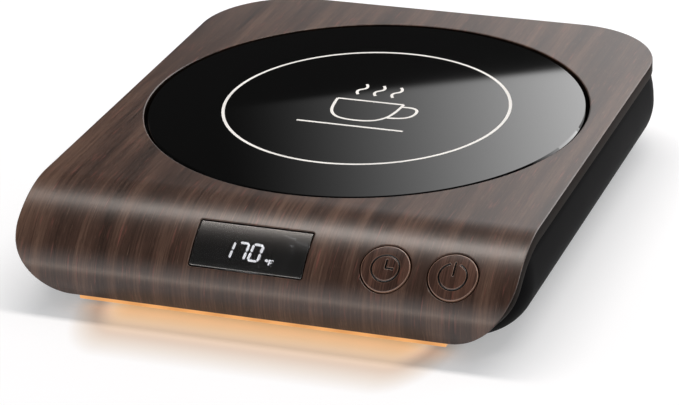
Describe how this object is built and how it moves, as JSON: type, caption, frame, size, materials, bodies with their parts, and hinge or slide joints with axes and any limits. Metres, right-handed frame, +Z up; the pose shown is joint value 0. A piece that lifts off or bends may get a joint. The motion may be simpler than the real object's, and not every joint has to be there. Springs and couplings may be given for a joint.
{
  "type": "electric mug warmer",
  "caption": "Flat electric mug warmer: bent wood cover over a black tray, round glass hot plate, front display, push buttons and an under-lip light bar.",
  "frame": {"origin": "on the table under the middle of the warmer's outline", "axes": "+Z up, the display and buttons face -Y, +X to the right of a person facing the display"},
  "size_m": [0.1208, 0.1443, 0.025],
  "materials": {
    "walnut_cover": "satin dark walnut veneer, grain front to back",
    "walnut_caps": "satin red-brown walnut",
    "black_shell": "fine satin black moulded plastic",
    "black_glass": "polished black glass with a white ring",
    "silicone": "matt silicone",
    "aluminium": "milled",
    "heater_film": "amber film with etched tracks",
    "mineral_board": "matt fibre board",
    "pressed_steel": "plain pressed steel",
    "screw_steel": "zinc plated",
    "sensor_brass": "plain",
    "foot_rubber": "matt",
    "circuit_board": "green solder mask",
    "socket_plastic": "matt",
    "contact_metal": "nickel plated",
    "can_aluminium": "sleeved can",
    "choke_ferrite": "ferrite",
    "chip_black": "moulded package",
    "header_plastic": "natural nylon",
    "smoked_window": "smoked, polished",
    "display_black": "matt",
    "lit_digits": "lit diffuser",
    "switch_plunger": "matt",
    "switch_black": "matt",
    "amber_bar": "frosted translucent amber",
    "amber_diodes": "clear",
    "lead_sleeve": "silicone sleeve",
    "ribbon_grey": "ribbon"
  },
  "bodies": {
    "base": {"top_cover": "walnut_cover", "lower_tray": "black_shell", "inner_frame": "black_shell", "glass_plate": "black_glass", "glass_seal": "silicone", "heat_spreader": "aluminium", "heating_element": "heater_film", "insulation_pad": "mineral_board", "heater_retainer": "pressed_steel", "retainer_screws": "screw_steel", "temperature_sensor": "sensor_brass", "thermal_fuse": "sensor_brass", "thermal_fuse_clip": "pressed_steel", "case_screws": "screw_steel", "rubber_feet": "foot_rubber", "power_board": "circuit_board", "board_screws": "screw_steel", "power_socket_body": "socket_plastic", "power_socket_pin": "contact_metal", "power_socket_contact": "contact_metal", "capacitors": "can_aluminium", "choke": "choke_ferrite", "heater_transistor": "chip_black", "buzzer": "chip_black", "board_fuse": "contact_metal", "board_chips": "chip_black", "lead_headers": "header_plastic", "control_board": "circuit_board", "control_bracket": "black_shell", "control_screws": "screw_steel", "display_window": "smoked_window", "display_frame": "display_black", "display_module": "display_black", "display_digits": "lit_digits", "timer_switch": "switch_black", "power_switch": "switch_black", "light_bar": "amber_bar", "light_board": "circuit_board", "light_diodes": "amber_diodes", "heater_leads": "lead_sleeve", "sensor_leads": "lead_sleeve", "fuse_leads": "lead_sleeve", "light_leads": "lead_sleeve", "display_ribbon": "ribbon_grey"},
    "timer_button": {"timer_button": "walnut_caps", "timer_plunger": "switch_plunger"},
    "power_button": {"power_button": "walnut_caps", "power_plunger": "switch_plunger"}
  },
  "joints": [
    {"name": "timer_button_press", "type": "slide", "parent": "base", "child": "timer_button", "axis": [0, 0.6472, -0.7624], "range_m": [0, 0.0006], "stiffness_N_per_m": 2500, "springref_m": -0.0002},
    {"name": "power_button_press", "type": "slide", "parent": "base", "child": "power_button", "axis": [0, 0.6472, -0.7624], "range_m": [0, 0.0006], "stiffness_N_per_m": 2500, "springref_m": -0.0002}
  ]
}
